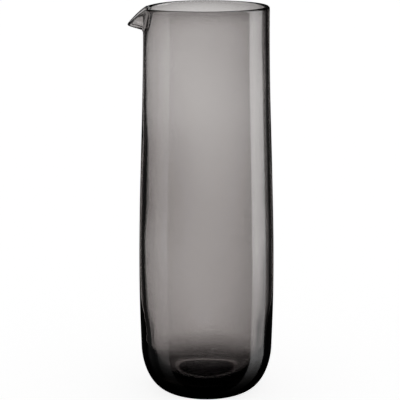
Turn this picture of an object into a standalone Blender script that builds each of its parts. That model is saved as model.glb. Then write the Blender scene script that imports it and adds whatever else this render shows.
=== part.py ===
"""Smoked glass carafe with a pulled pouring lip, blown in one piece.

The body is a turned profile: a flat ground foot, a heavy rounded heel, a slow swell to the belly
and a long taper up to the rim. The wall has its own thickness at the heel, belly, waist and
rim, and the rim is a rounded bead. The lip is then pulled out of the rim the way a glassblower
does it: the hot edge goes outwards and down over a short arc, and the wall thins as it goes.

Units are metres, +Z is up, the origin is the centre of the foot, and the lip points to -X.
"""

import math

import bpy
import numpy as np

# Outside of the body
TOTAL_HEIGHT = 0.270
RIM_RADIUS = 0.0428
BELLY_RADIUS = 0.0471
BELLY_HEIGHT = 0.079
TAPER_END_DEPTH = 0.004
FOOT_RADIUS = 0.0275
HEEL_HEIGHT = 0.033
HEEL_INSET = 0.0009

# Thickness of the glass
RIM_WALL = 0.0036
WAIST_WALL = 0.0029
WAIST_DEPTH = 0.065
BELLY_WALL = 0.0041
HEEL_WALL = 0.0046
FLOOR_THICKNESS = 0.011

# Inside of the bottom
INNER_FLOOR_RADIUS = 0.0225
INNER_HEEL_HEIGHT = 0.028

# Pouring lip, with its angles in degrees to each side of its middle
LIP_REACH = 0.0107
LIP_DROP = 0.0118
LIP_ROOT_DEPTH = 0.0186
LIP_WALL = 0.0022
LIP_FILLET_SHARE = 0.25
LIP_HALF_ANGLE = 20.0
LIP_ROOT_SHARE = 0.2
LIP_TROUGH_ANGLE = 22.0
RIM_SAG = 0.001
RIM_SAG_ANGLE = 75.0

# How sharply the lip's plan and its trough come to their middle
LIP_PLAN_POWER = 1.1
LIP_TROUGH_POWER = 1.6

# Fineness of the surfaces
TURN_STEPS = 112
HEEL_RINGS = 8
SIDE_RINGS = 8
LIP_RINGS = 9
BEAD_RINGS = 6
INNER_HEEL_RINGS = 7
MERGE_DISTANCE = 0.00001
PROBE_SHARE = 0.001
CREASE_ANGLE = 40.0

# The glass: smoke grey, fire polished
GLASS_COLOUR = (0.10, 0.095, 0.092, 1.0)
GLASS_ROUGHNESS = 0.02
GLASS_IOR = 1.52

BEAD_RADIUS = RIM_WALL / 2
BEAD_HEIGHT = TOTAL_HEIGHT - BEAD_RADIUS
TAPER_END_HEIGHT = TOTAL_HEIGHT - TAPER_END_DEPTH
WAIST_HEIGHT = TOTAL_HEIGHT - WAIST_DEPTH
LIP_ROOT_HEIGHT = TOTAL_HEIGHT - LIP_ROOT_DEPTH
HEEL_RADIUS = BELLY_RADIUS - HEEL_INSET
INNER_HEEL_TOP = FLOOR_THICKNESS + INNER_HEEL_HEIGHT


def clear_scene():
    """Remove every object, so that the script can be run again."""
    for old in list(bpy.data.objects):
        bpy.data.objects.remove(old, do_unlink=True)


def share_between(value, low, high):
    """Where value lies between low and high, from 0 to 1."""
    return np.clip((value - low) / (high - low), 0.0, 1.0)


def ease(share):
    """A cosine ease that starts and ends level."""
    return (1.0 - np.cos(np.pi * share)) / 2


def outer_radius(height):
    """Radius of the outside at a height: elliptical heel, slow swell, then an eased taper."""
    below = 1.0 - share_between(height, 0.0, HEEL_HEIGHT)
    heel = FOOT_RADIUS + (HEEL_RADIUS - FOOT_RADIUS) * np.sqrt(1.0 - below ** 2)
    swell = HEEL_INSET * np.sin(share_between(height, HEEL_HEIGHT, BELLY_HEIGHT) * np.pi / 2)
    taper = (BELLY_RADIUS - RIM_RADIUS) * ease(share_between(height, BELLY_HEIGHT, TAPER_END_HEIGHT))
    return heel + swell - taper


def wall_thickness(height):
    """Thickness of the side wall, eased from heel to belly, to the thin waist and to the rim."""
    to_belly = (BELLY_WALL - HEEL_WALL) * ease(share_between(height, INNER_HEEL_TOP, BELLY_HEIGHT))
    to_waist = (WAIST_WALL - BELLY_WALL) * ease(share_between(height, BELLY_HEIGHT, WAIST_HEIGHT))
    to_rim = (RIM_WALL - WAIST_WALL) * ease(share_between(height, WAIST_HEIGHT, BEAD_HEIGHT))
    return HEEL_WALL + to_belly + to_waist + to_rim


def inner_radius(height):
    """Radius of the bore above the rounded inner bottom."""
    return outer_radius(height) - wall_thickness(height)


def quarter_arc(rings):
    """Angles of a quarter turn, from 0 to a right angle."""
    return np.linspace(0.0, math.pi / 2, rings + 1)


def inner_points():
    """The inside, from the middle of its floor up to the start of the bead."""
    turn = quarter_arc(INNER_HEEL_RINGS)
    heel_reach = inner_radius(INNER_HEEL_TOP) - INNER_FLOOR_RADIUS
    heel_radius = INNER_FLOOR_RADIUS + heel_reach * np.sin(turn)
    heel_height = FLOOR_THICKNESS + INNER_HEEL_HEIGHT * (1.0 - np.cos(turn))
    side = np.linspace(INNER_HEEL_TOP, LIP_ROOT_HEIGHT, SIDE_RINGS + 1)[1:]
    throat = np.linspace(LIP_ROOT_HEIGHT, BEAD_HEIGHT, LIP_RINGS + 1)[1:]
    upper = np.concatenate([side, throat])
    radii = np.concatenate([[0.0], heel_radius, inner_radius(upper)])
    heights = np.concatenate([[FLOOR_THICKNESS], heel_height, upper])
    return list(zip(radii, heights))


def bead_points():
    """The half round of the rim, over its top from the inside to the outside."""
    turn = np.linspace(math.pi, 0.0, BEAD_RINGS + 1)[1:]
    radii = RIM_RADIUS - BEAD_RADIUS + BEAD_RADIUS * np.cos(turn)
    heights = BEAD_HEIGHT + BEAD_RADIUS * np.sin(turn)
    return list(zip(radii, heights))


def outer_points():
    """The outside, from below the bead down the side and the heel to the middle of the foot."""
    throat = np.linspace(BEAD_HEIGHT, LIP_ROOT_HEIGHT, LIP_RINGS + 1)[1:]
    side = np.linspace(LIP_ROOT_HEIGHT, HEEL_HEIGHT, SIDE_RINGS + 1)[1:]
    heel = HEEL_HEIGHT * (1.0 - np.sin(quarter_arc(HEEL_RINGS)))[1:]
    heights = np.concatenate([throat, side, heel, [0.0]])
    radii = np.concatenate([outer_radius(heights[:-1]), [0.0]])
    return list(zip(radii, heights))


def turned_mesh(name, points):
    """Turn a profile in the XZ plane about Z and return the closed mesh."""
    profile = bpy.data.meshes.new(name + "_profile")
    corners = [(float(radius), 0.0, float(height)) for radius, height in points]
    edges = [(index, index + 1) for index in range(len(corners) - 1)]
    profile.from_pydata(corners, edges, [])
    turner = bpy.data.objects.new(name + "_profile", profile)
    bpy.context.scene.collection.objects.link(turner)
    screw = turner.modifiers.new("turn", "SCREW")
    screw.axis = "Z"
    screw.angle = math.tau
    screw.steps = TURN_STEPS
    screw.render_steps = TURN_STEPS
    screw.use_merge_vertices = True
    screw.merge_threshold = MERGE_DISTANCE
    depsgraph = bpy.context.evaluated_depsgraph_get()
    mesh = bpy.data.meshes.new_from_object(turner.evaluated_get(depsgraph))
    mesh.name = name
    bpy.data.objects.remove(turner)
    bpy.data.meshes.remove(profile)
    return mesh


def bump(angle, half_angle, power):
    """1 in the middle of the lip, falling to 0 at half_angle degrees to each side."""
    share = np.clip(np.abs(np.degrees(angle)) / half_angle, 0.0, 1.0)
    return np.maximum(np.cos(share * np.pi / 2), 0.0) ** power


def pull_share(height):
    """How much of the pull reaches a height: none at the root, a short fillet, then a straight run."""
    rise = np.maximum((height - LIP_ROOT_HEIGHT) / LIP_ROOT_DEPTH, 0.0)
    fillet = rise ** 2 / (2 * LIP_FILLET_SHARE)
    run = rise - LIP_FILLET_SHARE / 2
    return np.where(rise < LIP_FILLET_SHARE, fillet, run) / (1.0 - LIP_FILLET_SHARE / 2)


def reach_share(angle, height):
    """How much of the reach a point gets: the lip is narrow at its root and opens to the rim."""
    rise = share_between(height, LIP_ROOT_HEIGHT, TOTAL_HEIGHT)
    opened = LIP_ROOT_SHARE + (1.0 - LIP_ROOT_SHARE) * rise
    return bump(angle, LIP_HALF_ANGLE * opened, LIP_PLAN_POWER) * pull_share(height)


def lip_surface(angle, height):
    """The pulled outside, for an angle from -X and a height on the round throat.

    The pull adds reach to the radius and takes drop from the height, and a slight wide sag of the
    rim is taken off too. Returns the points as rows of x, y, z.
    """
    radius = outer_radius(height) + LIP_REACH * reach_share(angle, height)
    trough = LIP_DROP * bump(angle, LIP_TROUGH_ANGLE, LIP_TROUGH_POWER) * pull_share(height)
    sag = RIM_SAG * bump(angle, RIM_SAG_ANGLE, 2) * ease(share_between(height, LIP_ROOT_HEIGHT, TOTAL_HEIGHT))
    return np.stack([-radius * np.cos(angle), radius * np.sin(angle), height - trough - sag], axis=1)


def lip_normal(angle, height):
    """Outward unit normals of the pulled outside, from small steps along and up it."""
    turn = PROBE_SHARE * math.radians(LIP_HALF_ANGLE)
    climb = PROBE_SHARE * LIP_ROOT_DEPTH
    along = lip_surface(angle + turn, height) - lip_surface(angle - turn, height)
    up = lip_surface(angle, height + climb) - lip_surface(angle, height - climb)
    normal = np.cross(up, along)
    return normal / np.linalg.norm(normal, axis=1, keepdims=True)


def pull_lip(mesh):
    """Carry the throat's vertices onto the pulled surface, each at its own depth in the glass."""
    flat = np.empty(len(mesh.vertices) * 3)
    mesh.vertices.foreach_get("co", flat)
    points = flat.reshape(-1, 3)
    hot = points[:, 2] > LIP_ROOT_HEIGHT
    x, y, height = points[hot].T
    angle = np.arctan2(y, -x)
    depth = outer_radius(height) - np.hypot(x, y)
    thinned = depth * (1.0 + (LIP_WALL / RIM_WALL - 1.0) * reach_share(angle, height))
    points[hot] = lip_surface(angle, height) - lip_normal(angle, height) * thinned[:, None]
    mesh.vertices.foreach_set("co", points.ravel())
    mesh.update()


def glass_material():
    """Smoke grey glass, clear and fire polished."""
    material = bpy.data.materials.new("smoked_glass")
    material.use_nodes = True
    shader = material.node_tree.nodes["Principled BSDF"]
    shader.inputs["Base Color"].default_value = GLASS_COLOUR
    shader.inputs["Roughness"].default_value = GLASS_ROUGHNESS
    shader.inputs["Metallic"].default_value = 0.0
    shader.inputs["IOR"].default_value = GLASS_IOR
    shader.inputs["Transmission Weight"].default_value = 1.0
    return material


def main():
    """Build the carafe's one piece of glass."""
    clear_scene()
    collection = bpy.data.collections.new("glass_carafe")
    bpy.context.scene.collection.children.link(collection)
    mesh = turned_mesh("carafe_body", inner_points() + bead_points() + outer_points())
    pull_lip(mesh)
    mesh.shade_smooth()
    mesh.set_sharp_from_angle(angle=math.radians(CREASE_ANGLE))
    mesh.materials.append(glass_material())
    collection.objects.link(bpy.data.objects.new("carafe_body", mesh))


main()
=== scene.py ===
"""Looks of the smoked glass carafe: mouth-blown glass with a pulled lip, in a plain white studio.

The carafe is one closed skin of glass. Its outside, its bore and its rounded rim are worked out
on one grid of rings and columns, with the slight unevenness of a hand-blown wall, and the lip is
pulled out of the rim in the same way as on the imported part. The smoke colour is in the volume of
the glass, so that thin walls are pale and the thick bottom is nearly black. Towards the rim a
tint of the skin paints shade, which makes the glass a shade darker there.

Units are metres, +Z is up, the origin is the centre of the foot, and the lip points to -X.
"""

import logging
import math
from dataclasses import dataclass, field
from enum import Enum, IntEnum

import bpy
import numpy as np
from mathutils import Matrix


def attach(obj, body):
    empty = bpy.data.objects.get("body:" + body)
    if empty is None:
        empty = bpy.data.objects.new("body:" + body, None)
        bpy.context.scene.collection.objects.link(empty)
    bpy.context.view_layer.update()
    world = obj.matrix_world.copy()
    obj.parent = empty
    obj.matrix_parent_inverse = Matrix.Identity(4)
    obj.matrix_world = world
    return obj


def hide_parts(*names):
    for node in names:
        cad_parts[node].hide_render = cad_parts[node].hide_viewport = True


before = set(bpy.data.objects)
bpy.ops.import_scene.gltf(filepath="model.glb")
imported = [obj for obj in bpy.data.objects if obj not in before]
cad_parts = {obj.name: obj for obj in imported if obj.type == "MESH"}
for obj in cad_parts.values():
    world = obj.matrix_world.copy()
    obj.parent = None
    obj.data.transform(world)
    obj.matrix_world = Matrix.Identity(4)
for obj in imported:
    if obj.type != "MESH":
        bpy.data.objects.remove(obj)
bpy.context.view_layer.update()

CAD_NODE = "carafe_body"
BODY = "root"
MILLIMETRE = 0.001
ROUND_DEGREES = 360.0
# An unturned camera looks straight down, so this tilt makes it level.
LEVEL_DEGREES = 90.0
WHITE = (1.0, 1.0, 1.0, 1.0)
# The number of the output for colours on a Mix node.
MIXED_COLOUR = 2
LOG = logging.getLogger("carafe")

Array = np.ndarray
Sockets = dict[str | int, object]


class RayKind(Enum):
    """The kinds of ray that the studio tells apart, by their sockets on a Light Path node."""

    CAMERA = "Is Camera Ray"
    GLOSSY = "Is Glossy Ray"
    THROUGH_GLASS = "Is Transmission Ray"


class MixInput(IntEnum):
    """A Mix node's inputs by number, as those for floats and for colours share their names."""

    FACTOR = 0
    FLOAT_A = 2
    FLOAT_B = 3
    COLOUR_A = 6
    COLOUR_B = 7


class Skin(Enum):
    """The three stretches of the glass skin, in the order in which the rings follow them."""

    BORE = 0
    RIM = 1
    OUTSIDE = 2


def linear_rgb(colour: str) -> tuple[float, float, float, float]:
    """Turn an sRGB hex colour into the linear values that shaders use.

    The straight stretch near black and the power above it are those that sRGB is defined by.

    Args:
        colour: The colour as #RRGGBB.

    Returns:
        Linear red, green and blue, and an alpha of 1.
    """
    encoded = np.array([int(colour[place:place + 2], 16) for place in (1, 3, 5)]) / 255.0
    low = encoded / 12.92
    high = ((encoded + 0.055) / 1.055) ** 2.4
    red, green, blue = np.where(encoded <= 0.04045, low, high)
    return float(red), float(green), float(blue), 1.0


def add_node(
    tree: bpy.types.NodeTree, kind: str, settings: Sockets, links: Sockets
) -> bpy.types.Node:
    """Add a node to a tree, with its settings and its incoming links.

    Args:
        tree: The node tree that gets the node.
        kind: The node's type name.
        settings: Values for the node's own properties or, by name or number, for its inputs.
        links: Output sockets that feed the node's inputs, by the input's name or number.

    Returns:
        The new node.
    """
    node = tree.nodes.new(kind)
    for name, value in settings.items():
        if isinstance(name, str) and hasattr(node, name):
            setattr(node, name, value)
        else:
            node.inputs[name].default_value = value
    for name, output in links.items():
        tree.links.new(output, node.inputs[name])
    return node


def ease(share: Array) -> Array:
    """A cosine ease of a share from 0 to 1, level at both ends."""
    return (1.0 - np.cos(np.pi * np.clip(share, 0.0, 1.0))) / 2


def share_between(value: Array, low: float, high: float) -> Array:
    """Where a value lies between low and high, held to 0 and 1."""
    return np.clip((value - low) / (high - low), 0.0, 1.0)


def hill(distance: Array, width: float) -> Array:
    """A smooth hill, 1 where the distance is 0 and about a third at the width."""
    return np.exp(-((distance / width) ** 2))


@dataclass(frozen=True)
class BlownProfile:
    """The turned form of the carafe before its lip is pulled: outside, wall and bottom."""

    total_height: float = 0.270
    rim_radius: float = 0.0428
    belly_radius: float = 0.0471
    belly_height: float = 0.079
    throat_depth: float = 0.004
    foot_radius: float = 0.0275
    heel_height: float = 0.033
    heel_inset: float = 0.0009
    rim_wall: float = 0.0036
    waist_wall: float = 0.0029
    waist_depth: float = 0.065
    belly_wall: float = 0.0041
    heel_wall: float = 0.0046
    floor_thickness: float = 0.011
    inner_floor_radius: float = 0.0225
    inner_heel_height: float = 0.028

    @property
    def bead_radius(self) -> float:
        """Radius of the rounded rim in section."""
        return self.rim_wall / 2

    @property
    def bead_height(self) -> float:
        """Height of the middle of the rounded rim."""
        return self.total_height - self.bead_radius

    @property
    def inner_heel_top(self) -> float:
        """Height at which the rounded inner bottom meets the straight bore."""
        return self.floor_thickness + self.inner_heel_height

    def outer_radius(self, height: Array) -> Array:
        """Radius of the outside.

        An elliptical heel from the foot, plus a slow quarter-sine swell to the belly, less an
        eased taper from the belly to the throat.

        Args:
            height: Heights above the foot.

        Returns:
            The radius at each height.
        """
        heel_radius = self.belly_radius - self.heel_inset
        throat_height = self.total_height - self.throat_depth
        below = 1.0 - share_between(height, 0.0, self.heel_height)
        heel = self.foot_radius + (heel_radius - self.foot_radius) * np.sqrt(1.0 - below ** 2)
        rise = share_between(height, self.heel_height, self.belly_height)
        swell = self.heel_inset * np.sin(rise * np.pi / 2)
        fall = ease(share_between(height, self.belly_height, throat_height))
        return heel + swell - (self.belly_radius - self.rim_radius) * fall

    def wall(self, height: Array) -> Array:
        """Thickness of the side wall: eased from heel to belly, to the thin waist, to the rim.

        Args:
            height: Heights above the foot.

        Returns:
            The thickness at each height.
        """
        waist_height = self.total_height - self.waist_depth
        to_belly = ease(share_between(height, self.inner_heel_top, self.belly_height))
        to_waist = ease(share_between(height, self.belly_height, waist_height))
        to_rim = ease(share_between(height, waist_height, self.bead_height))
        thickness = self.heel_wall + (self.belly_wall - self.heel_wall) * to_belly
        thickness = thickness + (self.waist_wall - self.belly_wall) * to_waist
        return thickness + (self.rim_wall - self.waist_wall) * to_rim

    def inner_radius(self, height: Array) -> Array:
        """Radius of the bore above its rounded bottom."""
        return self.outer_radius(height) - self.wall(height)


@dataclass(frozen=True)
class PulledLip:
    """The pouring lip: how far the hot rim was pulled outwards and down, and over what arc."""

    reach: float = 0.0107
    drop: float = 0.0118
    root_depth: float = 0.0186
    wall: float = 0.0022
    fillet_share: float = 0.25
    half_angle: float = 20.0
    root_share: float = 0.2
    trough_angle: float = 22.0
    plan_power: float = 1.1
    trough_power: float = 1.6
    rim_sag: float = 0.001
    rim_sag_angle: float = 75.0
    rim_sag_power: float = 2.0
    probe: float = 0.00002

    def bump(self, angle: Array, half_angle: Array | float, power: float) -> Array:
        """A cosine arch to a power: 1 at the lip's middle, 0 at half_angle degrees beside it."""
        share = np.clip(np.abs(np.degrees(angle)) / half_angle, 0.0, 1.0)
        return np.maximum(np.cos(share * np.pi / 2), 0.0) ** power

    def pull(self, rise: Array) -> Array:
        """How much of the pull reaches a point.

        Nothing at the lip's root, then a parabola over the short fillet, then a straight run
        that reaches 1 at the rim.

        Args:
            rise: How far up the point is from the root, as a share of the root's depth.

        Returns:
            The share of the pull.
        """
        up = np.maximum(rise, 0.0)
        bend = up ** 2 / (2 * self.fillet_share)
        run = up - self.fillet_share / 2
        return np.where(up < self.fillet_share, bend, run) / (1.0 - self.fillet_share / 2)

    def plan(self, angle: Array, rise: Array) -> Array:
        """How much of the reach a point gets.

        An arch across the lip, which is narrow at the root and opens towards the rim.

        Args:
            angle: Angles from -X, in radians.
            rise: How far up the point is from the root, as a share of the root's depth.

        Returns:
            The share of the reach, before the pull.
        """
        opened = self.root_share + (1.0 - self.root_share) * np.clip(rise, 0.0, 1.0)
        return self.bump(angle, self.half_angle * opened, self.plan_power)

    def surface(self, profile: BlownProfile, angle: Array, height: Array) -> Array:
        """The pulled outside of the throat.

        The radius grows by the reach, the height falls by the trough, and both follow the arch
        across the lip and the pull up it. A slight wide sag lowers the rim on the lip's side.

        Args:
            profile: The turned form that the lip is pulled from.
            angle: Angles from -X, in radians.
            height: Heights on the round throat.

        Returns:
            The points, with x, y and z along the last axis.
        """
        root = profile.total_height - self.root_depth
        rise = (height - root) / self.root_depth
        pull = self.pull(rise)
        radius = profile.outer_radius(height) + self.reach * self.plan(angle, rise) * pull
        trough = self.drop * self.bump(angle, self.trough_angle, self.trough_power) * pull
        settled = ease(share_between(height, root, profile.total_height))
        sag = self.rim_sag * self.bump(angle, self.rim_sag_angle, self.rim_sag_power) * settled
        level = height - trough - sag
        return np.stack([-radius * np.cos(angle), radius * np.sin(angle), level], axis=-1)

    def normal(self, profile: BlownProfile, angle: Array, height: Array) -> Array:
        """Outward unit normals of the pulled outside.

        The cross product of a short step up the surface and a short step along it.

        Args:
            profile: The turned form that the lip is pulled from.
            angle: Angles from -X, in radians.
            height: Heights on the round throat.

        Returns:
            The normals, with x, y and z along the last axis.
        """
        turn = self.probe / profile.rim_radius
        past, before = (self.surface(profile, angle + step, height) for step in (turn, -turn))
        above, below = (
            self.surface(profile, angle, height + step) for step in (self.probe, -self.probe)
        )
        normal = np.cross(above - below, past - before)
        return normal / np.linalg.norm(normal, axis=-1, keepdims=True)


@dataclass(frozen=True)
class Wave:
    """One part of the wall's swell: a cosine round the body times a cosine up it.

    Round the body the cosine has a whole number of waves. Up it, the length is the height for
    each radian. The starts and shifts are in radians.
    """

    weight: float
    waves_round: int
    length_up: float
    start_round: float = 0.0
    start_up: float = 0.0
    shift_round: float = 0.0
    shift_up: float = 0.0

    def at(self, angle: Array, height: Array, phase: float) -> Array:
        """The wave at each point: the product of its two cosines, times its weight.

        Args:
            angle: Angles from -X, in radians.
            height: Heights above the foot.
            phase: A shift, which moves each cosine by the wave's own share of it.

        Returns:
            The wave's part of the swell.
        """
        around = np.cos(self.waves_round * angle + self.start_round + self.shift_round * phase)
        upwards = np.cos(height / self.length_up + self.start_up + self.shift_up * phase)
        return self.weight * (around * upwards)


@dataclass(frozen=True)
class HandUnevenness:
    """What the blowpipe and the block leave: a wall that is not quite even round and up.

    Each pair of heights is where a change starts and where it is complete.
    """

    waves: tuple[Wave, ...] = (
        Wave(0.5, 2, 0.021, start_round=1.3, shift_round=1.0, shift_up=0.4),
        Wave(0.3, 3, 0.0135, start_up=1.9, shift_round=-0.7, shift_up=1.0),
        Wave(0.2, 5, 0.0088, start_up=-0.6, shift_round=2.1),
    )
    outside_swing: float = 0.00005
    outside_phase: float = 0.8
    bore_swing: float = 0.00012
    bore_phase: float = 2.3
    side_power: int = 2
    flank_power: int = 6
    band_all_round: float = 0.0002
    band_side: float = 0.0009
    band_rise: tuple[float, float] = (0.100, 0.136)
    band_fall: tuple[float, float] = (0.165, 0.206)
    lip_side_thin: float = 0.00025
    lip_side_rise: tuple[float, float] = (0.070, 0.090)
    far_side_thick: float = 0.0001
    drawn_thin: float = 0.0005
    drawn: tuple[float, float] = (0.206, 0.236)
    settled_thick: float = 0.0010
    settled: tuple[float, float] = (0.034, 0.066)
    calm_height: float = 0.022
    calm_depth: float = 0.030

    def calm(self, profile: BlownProfile, height: Array) -> Array:
        """How much of the unevenness is left: none at the foot and the rim, which stay true.

        Args:
            profile: The turned form.
            height: Heights above the foot.

        Returns:
            A share from 0 to 1, eased over a stretch above the floor and one below the rim.
        """
        floor, top = profile.floor_thickness, profile.total_height
        above_floor = ease(share_between(height, floor, floor + self.calm_height))
        near_rim = ease(share_between(height, top - self.calm_depth, top))
        return above_floor * (1.0 - near_rim)

    def swing(self, angle: Array, height: Array, phase: float) -> Array:
        """A gentle swell over the wall: the sum of the waves.

        Args:
            angle: Angles from -X, in radians.
            height: Heights above the foot.
            phase: A shift that sets the outside's swell apart from the bore's.

        Returns:
            The swell, from about -1 to 1.
        """
        return np.sum([wave.at(angle, height, phase) for wave in self.waves], axis=0)

    def outside(self, profile: BlownProfile, angle: Array, height: Array) -> Array:
        """How far the outside stands proud of the true form."""
        swell = self.outside_swing * self.swing(angle, height, self.outside_phase)
        return swell * self.calm(profile, height)

    def bore(self, profile: BlownProfile, angle: Array, height: Array) -> Array:
        """How much thicker than the true wall the glass is.

        A thick band half way up is mostly on the lip's side. Above it, where the lip was pulled,
        that side is drawn thinner. A narrow flank at the lip is a little thin from the belly
        upwards, and the one opposite is a little thick. Near the bottom more glass has settled on
        both flanks. The weight of the lip's side is a raised cosine to a power, and that of a
        flank is the cosine itself to a power.

        Args:
            profile: The turned form.
            angle: Angles from -X, in radians.
            height: Heights above the foot.

        Returns:
            The extra thickness at each point.
        """
        side = ((1.0 + np.cos(angle)) / 2) ** self.side_power
        risen = ease(share_between(height, *self.band_rise))
        fallen = ease(share_between(height, *self.band_fall))
        band = (self.band_all_round + self.band_side * side) * (risen * (1.0 - fallen))
        drawn = self.drawn_thin * side * ease(share_between(height, *self.drawn))
        low = 1.0 - ease(share_between(height, *self.settled))
        near = np.clip(np.cos(angle), 0.0, 1.0) ** self.flank_power
        far = np.clip(-np.cos(angle), 0.0, 1.0) ** self.flank_power
        settled = self.settled_thick * (near + far) * low
        thin = self.lip_side_thin * ease(share_between(height, *self.lip_side_rise))
        flanks = self.far_side_thick * far - thin * near
        swell = self.bore_swing * self.swing(angle, height, self.bore_phase)
        return (swell + band - drawn + settled + flanks) * self.calm(profile, height)


@dataclass(frozen=True)
class SmokedSodaGlass:
    """Soda-lime glass with the smoke colour in the melt, mouth-blown and fire-polished.

    Fire polishing leaves a skin with no grind marks, so highlights are hard and mirror-like. The
    grey is in the body of the glass, and deepens with its thickness. Near the rim a darker tint of
    the skin is painted shade.
    """

    name: str = "soda_glass_smoked_fire_polished"
    clear: str = "#FFFFFF"
    cord: str = "#FBFAF9"
    smoke: str = "#69524B"
    smoke_per_metre: float = 136.5
    # Painted shade: a darker tint of the skin near the rim.
    rim_painted_shade: str = "#BCBBBA"
    rim_painted_shade_depth: float = 18 * MILLIMETRE
    rim_painted_shade_gather: float = 3.0
    ior: float = 1.5
    roughness: float = 0.0
    cord_width: float = 16 * MILLIMETRE
    cord_length: float = 55 * MILLIMETRE
    cord_detail: float = 3.0
    cord_roughness: float = 0.5
    cord_distortion: float = 0.4
    ripple_width: float = 9 * MILLIMETRE
    ripple_detail: float = 1.0
    ripple_roughness: float = 0.4
    ripple_strength: float = 0.02
    ripple_depth: float = 0.02 * MILLIMETRE

    def material(self, rim_height: float) -> bpy.types.Material:
        """Make the glass.

        Faint cords, which are streaks of slightly denser glass drawn along the blowpipe, tint the
        surface. A painted shade darkens the tint towards the rim, as a power of the height's share
        of the painted shade's depth. A very shallow ripple bends the reflections, and the volume
        takes the light.

        Args:
            rim_height: Height of the rim above the foot.

        Returns:
            The material.
        """
        made = bpy.data.materials.new(self.name)
        made.use_nodes = True
        tree = made.node_tree
        tree.nodes.clear()
        place = add_node(tree, "ShaderNodeTexCoord", {}, {})
        drawn = add_node(
            tree,
            "ShaderNodeMapping",
            {"Scale": (1 / self.cord_width, 1 / self.cord_width, 1 / self.cord_length)},
            {"Vector": place.outputs["Object"]},
        )
        cords = add_node(
            tree,
            "ShaderNodeTexNoise",
            {
                "Scale": 1.0,
                "Detail": self.cord_detail,
                "Roughness": self.cord_roughness,
                "Distortion": self.cord_distortion,
            },
            {"Vector": drawn.outputs["Vector"]},
        )
        tint = add_node(
            tree,
            "ShaderNodeMix",
            {
                "data_type": "RGBA",
                MixInput.COLOUR_A: linear_rgb(self.clear),
                MixInput.COLOUR_B: linear_rgb(self.cord),
            },
            {MixInput.FACTOR: cords.outputs["Fac"]},
        )
        split = add_node(tree, "ShaderNodeSeparateXYZ", {}, {0: place.outputs["Object"]})
        # Painted shade: the surface tint darkens towards the rim.
        near_rim = add_node(
            tree,
            "ShaderNodeMapRange",
            {"From Min": rim_height - self.rim_painted_shade_depth, "From Max": rim_height},
            {"Value": split.outputs["Z"]},
        )
        rim_shade_share = add_node(
            tree,
            "ShaderNodeMath",
            {"operation": "POWER", 1: self.rim_painted_shade_gather},
            {0: near_rim.outputs["Result"]},
        )
        colour = add_node(
            tree,
            "ShaderNodeMix",
            {"data_type": "RGBA", MixInput.COLOUR_B: linear_rgb(self.rim_painted_shade)},
            {MixInput.FACTOR: rim_shade_share.outputs[0], MixInput.COLOUR_A: tint.outputs[MIXED_COLOUR]},
        )
        ripple = add_node(
            tree,
            "ShaderNodeTexNoise",
            {
                "Scale": 1 / self.ripple_width,
                "Detail": self.ripple_detail,
                "Roughness": self.ripple_roughness,
            },
            {"Vector": place.outputs["Object"]},
        )
        bump = add_node(
            tree,
            "ShaderNodeBump",
            {"Strength": self.ripple_strength, "Distance": self.ripple_depth},
            {"Height": ripple.outputs["Fac"]},
        )
        glass = add_node(
            tree,
            "ShaderNodeBsdfPrincipled",
            {
                "Roughness": self.roughness,
                "IOR": self.ior,
                "Transmission Weight": 1.0,
                "Metallic": 0.0,
            },
            {"Base Color": colour.outputs[MIXED_COLOUR], "Normal": bump.outputs["Normal"]},
        )
        smoke = add_node(
            tree,
            "ShaderNodeVolumeAbsorption",
            {"Color": linear_rgb(self.smoke), "Density": self.smoke_per_metre},
            {},
        )
        links = {"Surface": glass.outputs["BSDF"], "Volume": smoke.outputs["Volume"]}
        add_node(tree, "ShaderNodeOutputMaterial", {}, links)
        return made


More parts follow.
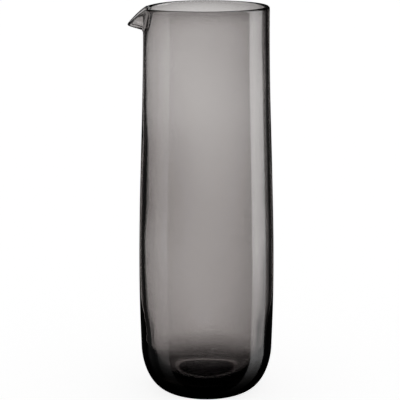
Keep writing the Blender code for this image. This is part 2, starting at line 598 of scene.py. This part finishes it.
@dataclass
class CarafeGlass:
    """The whole carafe: one skin of glass from the bore's floor over the rim to the foot."""

    name: str = "blown_glass_carafe"
    profile: BlownProfile = field(default_factory=BlownProfile)
    lip: PulledLip = field(default_factory=PulledLip)
    hand: HandUnevenness = field(default_factory=HandUnevenness)
    finish: SmokedSodaGlass = field(default_factory=SmokedSodaGlass)
    columns: int = 320
    lip_crowding: float = 2.2
    turn_steps: int = 20000
    disc_rings: int = 6
    floor_rings: int = 20
    bottom_rings: int = 44
    edge_crowding: float = 1.6
    side_rings: int = 56
    throat_rings: int = 26
    rim_rings: int = 16

    def turns(self) -> Array:
        """Angles of the columns from -X, crowded towards the lip.

        Columns are spread evenly over the running total of a density that is 1 round the body and
        rises in a hill at the lip.

        Returns:
            One angle for each column, in radians from -pi up to pi.
        """
        fine = np.linspace(-math.pi, math.pi, self.turn_steps + 1)
        density = 1.0 + self.lip_crowding * hill(fine, math.radians(self.lip.half_angle))
        total = np.concatenate([[0.0], np.cumsum((density[1:] + density[:-1]) / 2)])
        wanted = np.linspace(0.0, total[-1], self.columns + 1)[:-1]
        return np.interp(wanted, total, fine)

    def rings(self) -> tuple[Array, Array, Array]:
        """The section of the skin, ring by ring.

        The bore runs out over its flat floor, up its elliptical heel and up the side. The rim is
        a half circle, and the outside comes back down to the flat foot. Rings are crowded at the
        floor's edge, by a sine, and at the start of the inner heel, by a power.

        Returns:
            Radius, height and stretch of the skin for each ring, without the two poles.
        """
        shape = self.profile
        root = shape.total_height - self.lip.root_depth
        floor_turn = np.linspace(0.0, math.pi / 2, self.floor_rings + 1)[1:-1]
        floor_radius = shape.inner_floor_radius * np.sin(floor_turn)
        floor_height = np.full_like(floor_radius, shape.floor_thickness)
        heel_share = np.linspace(0.0, 1.0, self.bottom_rings + 1) ** self.edge_crowding
        inner_quarter = heel_share * math.pi / 2
        reach = shape.inner_radius(np.array(shape.inner_heel_top)) - shape.inner_floor_radius
        heel_radius = shape.inner_floor_radius + reach * np.sin(inner_quarter)
        heel_rise = shape.inner_heel_height * (1.0 - np.cos(inner_quarter))
        heel_height = shape.floor_thickness + heel_rise
        side = np.linspace(shape.inner_heel_top, root, self.side_rings + 1)[1:]
        throat = np.linspace(root, shape.bead_height, self.throat_rings + 1)[1:]
        wall_height = np.concatenate([side, throat])
        bore_height = np.concatenate([floor_height, heel_height, wall_height])
        bore_radius = np.concatenate([floor_radius, heel_radius, shape.inner_radius(wall_height)])

        turn = np.linspace(math.pi, 0.0, self.rim_rings + 1)[1:-1]
        rim_radius = shape.rim_radius - shape.bead_radius + shape.bead_radius * np.cos(turn)
        rim_height = shape.bead_height + shape.bead_radius * np.sin(turn)

        throat_down = np.linspace(shape.bead_height, root, self.throat_rings + 1)
        side_down = np.linspace(root, shape.heel_height, self.side_rings + 1)[1:]
        quarter = np.linspace(0.0, math.pi / 2, self.bottom_rings + 1)
        heel_down = shape.heel_height * (1.0 - np.sin(quarter))[1:]
        out_height = np.concatenate([throat_down, side_down, heel_down])
        out_radius = shape.outer_radius(out_height)
        foot_radius = np.linspace(shape.foot_radius, 0.0, self.disc_rings + 1)[1:-1]
        out_height = np.concatenate([out_height, np.zeros_like(foot_radius)])
        out_radius = np.concatenate([out_radius, foot_radius])

        radius = np.concatenate([bore_radius, rim_radius, out_radius])
        height = np.concatenate([bore_height, rim_height, out_height])
        counts = (len(bore_radius), len(rim_radius), len(out_radius))
        stretch = np.repeat([Skin.BORE.value, Skin.RIM.value, Skin.OUTSIDE.value], counts)
        return radius, height, stretch

    def grid(self) -> Array:
        """The points of the skin, ring by column.

        Each ring is a circle of its radius at its height, moved in or out by the unevenness of
        its own side of the wall. Above the lip's root, a point sits at its own depth below the
        pulled outside, along that surface's normal, and the depth shrinks with the pull.

        Returns:
            An array of rings by columns by x, y and z.
        """
        shape = self.profile
        radius, height, stretch = self.rings()
        angle = self.turns()[None, :]
        radius, height, stretch = radius[:, None], height[:, None], stretch[:, None]
        outside = self.hand.outside(shape, angle, height)
        thicker = self.hand.bore(shape, angle, height)
        moved = np.where(stretch == Skin.BORE.value, outside - thicker, outside)
        turned = radius + np.where(radius > shape.inner_floor_radius, moved, 0.0)
        level = np.broadcast_to(height, turned.shape)
        plain = np.stack([-turned * np.cos(angle), turned * np.sin(angle), level], axis=-1)

        root = shape.total_height - self.lip.root_depth
        wide = np.broadcast_to(angle, turned.shape)
        rise = (level - root) / self.lip.root_depth
        pull = self.lip.plan(wide, rise) * self.lip.pull(rise)
        thinned = 1.0 + (self.lip.wall / shape.rim_wall - 1.0) * pull
        depth = (shape.outer_radius(level) - turned) * thinned
        normal = self.lip.normal(shape, wide, level)
        pulled = self.lip.surface(shape, wide, level) - normal * depth[..., None]
        return np.where((level > root)[..., None], pulled, plain)

    def mesh(self) -> bpy.types.Mesh:
        """Join the grid into one closed skin, with a fan at each pole.

        Returns:
            The mesh, with its faces pointing out of the glass.
        """
        grid = self.grid()
        rings, columns = grid.shape[:2]
        poles = np.array([[0.0, 0.0, self.profile.floor_thickness], [0.0, 0.0, 0.0]])
        points = np.concatenate([grid.reshape(-1, 3), poles])
        index = np.arange(rings * columns).reshape(rings, columns)
        beside = np.roll(index, -1, axis=1)
        quads = np.stack([index[:-1], beside[:-1], beside[1:], index[1:]], axis=-1).reshape(-1, 4)
        first = np.stack([np.full(columns, rings * columns), beside[0], index[0]], axis=-1)
        last = np.stack([np.full(columns, rings * columns + 1), index[-1], beside[-1]], axis=-1)
        made = bpy.data.meshes.new(self.name)
        made.from_pydata(points, [], quads.tolist() + first.tolist() + last.tolist())
        made.shade_smooth()
        made.update()
        return made

    def build(self) -> bpy.types.Object:
        """Make the carafe, dress it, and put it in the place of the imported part.

        Returns:
            The carafe's object.
        """
        made = bpy.data.objects.new(self.name, self.mesh())
        made.data.materials.append(self.finish.material(self.profile.total_height))
        bpy.context.scene.collection.objects.link(made)
        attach(made, BODY)
        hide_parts(CAD_NODE)
        return made


@dataclass(frozen=True)
class LightCurve:
    """Brightness by an angle or by a distance.

    The spots are pairs of an angle in degrees, or a distance in millimetres, and a brightness in
    which 1 is white. They run from low to high, and the brightness runs straight between them.
    """

    low: float
    high: float
    spots: tuple[tuple[float, float], ...]
    brightest: float = 4.0

    def node(self, tree: bpy.types.NodeTree, share: bpy.types.NodeSocket) -> bpy.types.Node:
        """Add the curve.

        Args:
            tree: The node tree that gets the curve.
            share: Where the angle or distance lies between low and high, from 0 to 1.

        Returns:
            The curve's node, whose output is the brightness.
        """
        node = add_node(tree, "ShaderNodeFloatCurve", {}, {"Value": share})
        mapping = node.mapping
        mapping.clip_max_y = self.brightest
        line = mapping.curves[0]
        span = self.high - self.low
        shares = [((place - self.low) / span, bright) for place, bright in self.spots]
        line.points[0].location = shares[0]
        line.points[-1].location = shares[-1]
        for spot in shares[1:-1]:
            line.points.new(*spot)
        for point in line.points:
            point.handle_type = "VECTOR"
        mapping.update()
        return node


@dataclass(frozen=True)
class Surround:
    """What one kind of ray sees: brightness round the table and brightness by elevation."""

    around: LightCurve
    up: LightCurve

    def shader(
        self, tree: bpy.types.NodeTree, turn: bpy.types.NodeSocket, rise: bpy.types.NodeSocket
    ) -> bpy.types.Node:
        """Add a background whose strength is the product of the two brightnesses.

        Args:
            tree: The world's node tree.
            turn: The angle round the table as a share of a full turn.
            rise: The elevation as a share of half a turn.

        Returns:
            The background's node.
        """
        strength = add_node(
            tree,
            "ShaderNodeMath",
            {"operation": "MULTIPLY"},
            {0: self.around.node(tree, turn).outputs[0], 1: self.up.node(tree, rise).outputs[0]},
        )
        return add_node(
            tree, "ShaderNodeBackground", {"Color": WHITE}, {"Strength": strength.outputs[0]}
        )


@dataclass
class WhiteStudio:
    """A white table and backdrop in soft daylight, with panels and flags that the glass sees.

    The surround named behind is what shows through the glass, and the one named mirrored is what
    its skin mirrors. The curve close_by is how bright the table looks in the glass, by the
    distance from the middle of the foot. Where it is below 1, the table carries painted shade, a
    black sheet that only rays out of the glass see. On the side away from the backdrop, the
    painted shade close to the foot is darker still.
    """

    floor_half: float = 12.0
    floor_colour: str = "#E6E6E6"
    glow: float = 0.83
    daylight: float = 0.22
    straight_behind: float = 2.5
    bounces: int = 24
    mirror_bounces: int = 16
    lee_bright: float = 0.1
    lee_start: float = 10 * MILLIMETRE
    lee_full: float = -20 * MILLIMETRE
    lee_near: float = 40 * MILLIMETRE
    lee_far: float = 60 * MILLIMETRE
    close_by: LightCurve = LightCurve(
        0.0,
        100.0,
        (
            (0.0, 0.0),
            (20.5, 0.0),
            (22.0, 0.95),
            (24.5, 0.95),
            (29.0, 0.22),
            (32.0, 0.16),
            (44.0, 0.2),
            (52.0, 0.27),
            (58.0, 0.30),
            (62.0, 0.38),
            (66.0, 0.48),
            (76.0, 0.70),
            (100.0, 0.98),
        ),
    )
    behind: Surround = Surround(
        LightCurve(
            -180.0,
            180.0,
            (
                (-180.0, 0.75),
                (-53.0, 0.75),
                (-47.0, 0.60),
                (-45.0, 0.02),
                (-25.5, 0.03),
                (-22.5, 0.20),
                (-19.5, 0.95),
                (-17.5, 1.0),
                (-12.0, 0.98),
                (-9.0, 0.93),
                (-3.5, 0.93),
                (-1.5, 1.0),
                (0.0, 1.0),
                (2.0, 0.94),
                (3.5, 0.87),
                (5.5, 0.76),
                (13.0, 0.74),
                (15.5, 0.60),
                (18.5, 0.05),
                (31.0, 0.01),
                (35.5, 0.10),
                (40.0, 0.24),
                (44.0, 0.35),
                (47.0, 0.60),
                (53.0, 0.75),
                (180.0, 0.75),
            ),
        ),
        LightCurve(
            -90.0,
            90.0,
            (
                (-90.0, 0.1),
                (-58.0, 0.15),
                (-44.0, 1.0),
                (-5.0, 1.0),
                (4.0, 0.90),
                (10.0, 0.80),
                (30.0, 0.15),
                (90.0, 0.15),
            ),
        ),
    )
    mirrored: Surround = Surround(
        LightCurve(
            -180.0,
            180.0,
            (
                (-180.0, 0.04),
                (-111.0, 0.04),
                (-109.5, 1.05),
                (-97.0, 0.85),
                (-84.0, 0.45),
                (-81.5, 0.15),
                (-75.0, 0.10),
                (-60.0, 0.12),
                (-50.0, 0.01),
                (50.0, 0.01),
                (57.0, 0.05),
                (58.7, 0.50),
                (60.5, 1.80),
                (63.0, 2.20),
                (70.0, 2.50),
                (79.0, 3.10),
                (86.0, 3.80),
                (94.5, 3.65),
                (97.5, 0.04),
                (180.0, 0.04),
            ),
        ),
        LightCurve(
            -90.0,
            90.0,
            (
                (-90.0, 0.08),
                (-45.0, 0.10),
                (-30.0, 0.25),
                (-20.0, 0.48),
                (-17.0, 0.58),
                (-15.5, 0.75),
                (-13.5, 1.0),
                (90.0, 1.0),
            ),
        ),
    )

    def backdrop(self) -> None:
        """Light the world.

        Rays from the camera see white, and diffuse rays a soft daylight. Rays that left the glass
        see the panels and flags, by their angle round the table from straight behind it and by
        their elevation. The angle is the arctangent of x over y, and the elevation the arcsine
        of z. A ray through smooth glass also counts as glossy, so the choice of what is seen
        through the glass comes after the choice of what is mirrored.
        """
        world = bpy.data.worlds.new("white_studio")
        bpy.context.scene.world = world
        world.use_nodes = True
        tree = world.node_tree
        tree.nodes.clear()
        place = add_node(tree, "ShaderNodeTexCoord", {}, {})
        split = add_node(tree, "ShaderNodeSeparateXYZ", {}, {0: place.outputs["Generated"]})
        around = add_node(
            tree,
            "ShaderNodeMath",
            {"operation": "ARCTAN2"},
            {0: split.outputs["X"], 1: split.outputs["Y"]},
        )
        middle = 0.5 - self.straight_behind / ROUND_DEGREES
        turn = add_node(
            tree,
            "ShaderNodeMath",
            {"operation": "MULTIPLY_ADD", 1: 1 / math.tau, 2: middle},
            {0: around.outputs[0]},
        )
        climb = add_node(tree, "ShaderNodeMath", {"operation": "ARCSINE"}, {0: split.outputs["Z"]})
        rise = add_node(
            tree,
            "ShaderNodeMath",
            {"operation": "MULTIPLY_ADD", 1: 1 / math.pi, 2: 0.5},
            {0: climb.outputs[0]},
        )
        seen = self.behind.shader(tree, turn.outputs[0], rise.outputs[0])
        shine = self.mirrored.shader(tree, turn.outputs[0], rise.outputs[0])
        path = add_node(tree, "ShaderNodeLightPath", {}, {})
        soft, plain = (
            add_node(tree, "ShaderNodeBackground", {"Color": WHITE, "Strength": strength}, {})
            for strength in (self.daylight, 1.0)
        )
        lights = {RayKind.GLOSSY: shine, RayKind.THROUGH_GLASS: seen, RayKind.CAMERA: plain}
        surface = soft.outputs[0]
        for kind, light in lights.items():
            choice = {0: path.outputs[kind.value], 1: surface, 2: light.outputs[0]}
            surface = add_node(tree, "ShaderNodeMixShader", {}, choice).outputs[0]
        add_node(tree, "ShaderNodeOutputWorld", {}, {"Surface": surface})

    def painted_table_shade(self, tree: bpy.types.NodeTree) -> bpy.types.Node:
        """Add the table as the glass shows it.

        This is painted shade: a black emission mixed over a clear table, which only rays out of
        the glass see. It is dark under the foot, thinner at a light edge where the heel lifts off,
        partly dark next, for the glass's own shade, and further out lets nearly all of the
        backdrop's light through. Close to the foot the painted shade deepens towards the side away
        from the backdrop. The brightness is the product of one by distance and one by side.

        Args:
            tree: The node tree of the table's finish.

        Returns:
            The node of the shader.
        """
        place = add_node(tree, "ShaderNodeTexCoord", {}, {})
        reach = add_node(
            tree, "ShaderNodeVectorMath", {"operation": "LENGTH"}, {0: place.outputs["Object"]}
        )
        away = add_node(
            tree,
            "ShaderNodeMath",
            {"operation": "DIVIDE", "use_clamp": True, 1: self.close_by.high * MILLIMETRE},
            {0: reach.outputs["Value"]},
        )
        by_reach = self.close_by.node(tree, away.outputs[0])
        split = add_node(tree, "ShaderNodeSeparateXYZ", {}, {0: place.outputs["Object"]})
        # Painted shade: darker on the side away from the backdrop, close to the foot.
        lee = add_node(
            tree,
            "ShaderNodeMapRange",
            {"From Min": self.lee_full, "From Max": self.lee_start, "To Min": self.lee_bright},
            {"Value": split.outputs["Y"]},
        )
        open_table = add_node(
            tree,
            "ShaderNodeMapRange",
            {"From Min": self.lee_near, "From Max": self.lee_far},
            {"Value": reach.outputs["Value"]},
        )
        by_side = add_node(
            tree,
            "ShaderNodeMix",
            {MixInput.FLOAT_B: 1.0},
            {
                MixInput.FACTOR: open_table.outputs["Result"],
                MixInput.FLOAT_A: lee.outputs["Result"],
            },
        )
        bright = add_node(
            tree,
            "ShaderNodeMath",
            {"operation": "MULTIPLY"},
            {0: by_reach.outputs[0], 1: by_side.outputs[0]},
        )
        # Painted shade: a black emission that stands for the table's shade as the glass sees it.
        shade = add_node(tree, "ShaderNodeEmission", {"Strength": 0.0}, {})
        clear = add_node(tree, "ShaderNodeBsdfTransparent", {}, {})
        return add_node(
            tree,
            "ShaderNodeMixShader",
            {},
            {0: bright.outputs[0], 1: shade.outputs[0], 2: clear.outputs[0]},
        )

    def laminate(self) -> bpy.types.Material:
        """Make the table's finish.

        White laminate is matt and even. It glows too, so that it meets the backdrop unseen.
        Rays that come to it out of the glass get the table with its painted shade instead.

        Returns:
            The material.
        """
        paint = bpy.data.materials.new("matt_white_laminate")
        paint.use_nodes = True
        tree = paint.node_tree
        tree.nodes.clear()
        matt = add_node(tree, "ShaderNodeBsdfDiffuse", {"Color": linear_rgb(self.floor_colour)}, {})
        glow = add_node(tree, "ShaderNodeEmission", {"Strength": self.glow}, {})
        lit = add_node(tree, "ShaderNodeAddShader", {}, {0: matt.outputs[0], 1: glow.outputs[0]})
        in_glass = self.painted_table_shade(tree)
        path = add_node(tree, "ShaderNodeLightPath", {}, {})
        bent = add_node(
            tree,
            "ShaderNodeMath",
            {"operation": "MAXIMUM"},
            {0: path.outputs[RayKind.GLOSSY.value], 1: path.outputs[RayKind.THROUGH_GLASS.value]},
        )
        both = add_node(
            tree,
            "ShaderNodeMixShader",
            {},
            {0: bent.outputs[0], 1: lit.outputs[0], 2: in_glass.outputs[0]},
        )
        add_node(tree, "ShaderNodeOutputMaterial", {}, {"Surface": both.outputs[0]})
        return paint

    def table(self) -> bpy.types.Object:
        """Lay the white table top.

        Returns:
            The table's object.
        """
        half = self.floor_half
        made = bpy.data.meshes.new("white_table")
        corners = [(-half, -half, 0.0), (half, -half, 0.0), (half, half, 0.0), (-half, half, 0.0)]
        made.from_pydata(corners, [], [(0, 1, 2, 3)])
        made.materials.append(self.laminate())
        table = bpy.data.objects.new("white_table", made)
        bpy.context.scene.collection.objects.link(table)
        return table

    def build(self) -> bpy.types.Object:
        """Set up the view, the backdrop and the table.

        Light may pass and turn in the glass often enough to come out of the thick bottom.

        Returns:
            The table's object.
        """
        scene = bpy.context.scene
        scene.view_settings.view_transform = "Standard"
        scene.cycles.max_bounces = self.bounces
        scene.cycles.glossy_bounces = self.mirror_bounces
        scene.cycles.transmission_bounces = self.bounces
        self.backdrop()
        return self.table()


@dataclass(frozen=True)
class StandingCamera:
    """The camera of the photograph, worked out from the carafe's outline."""

    distance: float = 0.9728
    height: float = 0.3615
    step_left: float = 0.0041
    roll: float = 0.09
    turn: float = 2.5
    pitch: float = 13.07
    lens: float = 129.4
    sensor: float = 36.0
    nearest: float = 0.01

    def build(self) -> bpy.types.Object:
        """Place the camera.

        It stands at its distance from the axis, turned a little round it, and one small step to
        its own left, and looks down by its pitch.

        Returns:
            The camera's object.
        """
        turn = math.radians(self.turn)
        ahead = np.array([math.sin(turn), math.cos(turn)])
        left = np.array([-math.cos(turn), math.sin(turn)])
        spot = -self.distance * ahead + self.step_left * left
        data = bpy.data.cameras.new("standing_camera")
        data.lens = self.lens
        data.sensor_width = self.sensor
        data.clip_start = self.nearest
        made = bpy.data.objects.new("standing_camera", data)
        made.location = (float(spot[0]), float(spot[1]), self.height)
        tilt = math.radians(LEVEL_DEGREES - self.pitch)
        made.rotation_euler = (tilt, math.radians(self.roll), -turn)
        bpy.context.scene.collection.objects.link(made)
        bpy.context.scene.camera = made
        return made


def main() -> None:
    """Build the camera, the studio and the carafe, and report each piece."""
    logging.basicConfig(level=logging.INFO, format="%(name)s: %(message)s")
    camera = StandingCamera().build()
    LOG.info("%s: %.0f mm lens", camera.name, camera.data.lens)
    table = WhiteStudio().build()
    LOG.info("%s: %.0f m wide", table.name, table.dimensions.x)
    carafe = CarafeGlass().build()
    LOG.info("%s: %d faces in the place of %s", carafe.name, len(carafe.data.polygons), CAD_NODE)


if __name__ == "__main__":
    main()
